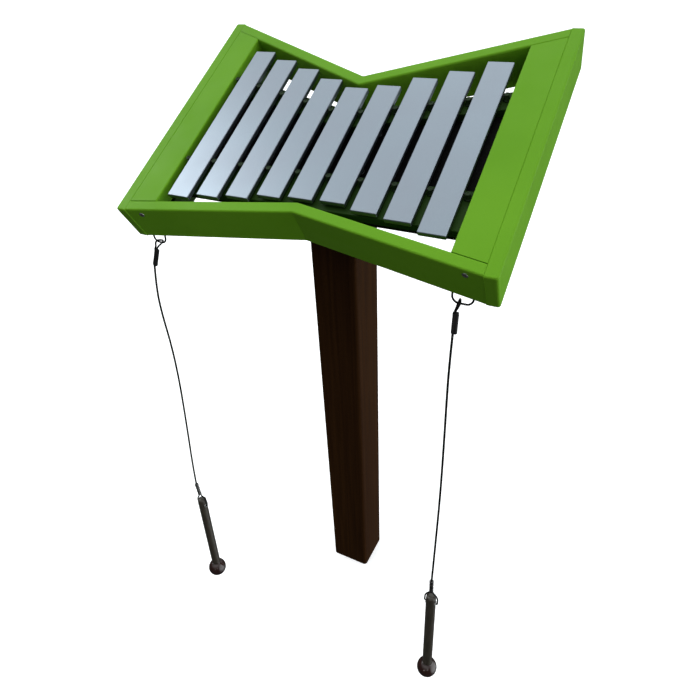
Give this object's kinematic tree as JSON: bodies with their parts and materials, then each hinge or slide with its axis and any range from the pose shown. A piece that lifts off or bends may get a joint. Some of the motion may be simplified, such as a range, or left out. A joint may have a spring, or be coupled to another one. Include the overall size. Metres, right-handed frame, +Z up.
{
  "type": "glockenspiel",
  "caption": "Outdoor glockenspiel: aluminium tone bars in a bow-tie shaped plastic frame, tilted on a square post, with two mallets on coated cables.",
  "frame": {"origin": "centre of the post's foot, at ground level", "axes": "+Z up along the post, -Y towards the player, +X to the player's right along the row of bars"},
  "size_m": [0.624, 0.4829, 1.1586],
  "materials": {
    "frame_green": "satin, lightly textured",
    "rail_green": "satin",
    "panel_black": "matte",
    "bar_aluminium": "satin, fine brushed along the bar",
    "bar_cord": "braided",
    "peg_plastic": "satin",
    "screw_steel": "black coated",
    "post_brown": "satin, moulded plastic",
    "saddle_black": "powder coated",
    "eye_black": "coated wire",
    "cable_black": "smooth coating",
    "sleeve_black": "shrunk sleeve",
    "ferrule_steel": "dull",
    "handle_dark": "satin",
    "eyelet_steel": "satin",
    "head_rubber": "glossy"
  },
  "bodies": {
    "stand": {"front_board": "frame_green", "back_board": "frame_green", "left_end_board": "frame_green", "right_end_board": "frame_green", "left_ledge": "frame_green", "right_ledge": "frame_green", "left_cross_board": "rail_green", "right_cross_board": "rail_green", "front_rail": "rail_green", "back_rail": "rail_green", "base_panel": "panel_black", "bar_1": "bar_aluminium", "bar_2": "bar_aluminium", "bar_3": "bar_aluminium", "bar_4": "bar_aluminium", "bar_5": "bar_aluminium", "bar_6": "bar_aluminium", "bar_7": "bar_aluminium", "bar_8": "bar_aluminium", "bar_9": "bar_aluminium", "front_bar_cord": "bar_cord", "back_bar_cord": "bar_cord", "cord_pegs": "peg_plastic", "peg_screws": "screw_steel", "panel_screws": "screw_steel", "board_screws": "screw_steel", "tray_bolts": "screw_steel", "tray_nuts": "screw_steel", "post": "post_brown", "post_saddle": "saddle_black", "saddle_bolts": "screw_steel", "saddle_nuts": "screw_steel", "left_eye": "eye_black", "right_eye": "eye_black"},
    "left_tether": {"left_top_loop": "cable_black", "left_sleeve": "sleeve_black", "left_cable": "cable_black", "left_ferrule": "ferrule_steel", "left_bottom_loop": "cable_black"},
    "left_mallet": {"left_mallet_handle": "handle_dark", "left_mallet_eyelet": "eyelet_steel", "left_mallet_head": "head_rubber"},
    "right_tether": {"right_top_loop": "cable_black", "right_sleeve": "sleeve_black", "right_cable": "cable_black", "right_ferrule": "ferrule_steel", "right_bottom_loop": "cable_black"},
    "right_mallet": {"right_mallet_handle": "handle_dark", "right_mallet_eyelet": "eyelet_steel", "right_mallet_head": "head_rubber"}
  },
  "joints": [
    {"name": "left_tether_swing", "type": "hinge", "parent": "stand", "child": "left_tether", "pos_m": [-0.282, -0.15006, 0.86404], "axis": [-1, 0, 0], "range_deg": [-25, 75]},
    {"name": "left_mallet_swing", "type": "hinge", "parent": "left_tether", "child": "left_mallet", "pos_m": [-0.2756, -0.21648, 0.25465], "axis": [-1, 0, 0], "range_deg": [-70, 70]},
    {"name": "right_tether_swing", "type": "hinge", "parent": "stand", "child": "right_tether", "pos_m": [0.254, -0.14986, 0.86583], "axis": [-1, 0, 0], "range_deg": [-25, 75]},
    {"name": "right_mallet_swing", "type": "hinge", "parent": "right_tether", "child": "right_mallet", "pos_m": [0.2676, -0.21648, 0.25465], "axis": [-1, 0, 0], "range_deg": [-70, 70]}
  ]
}
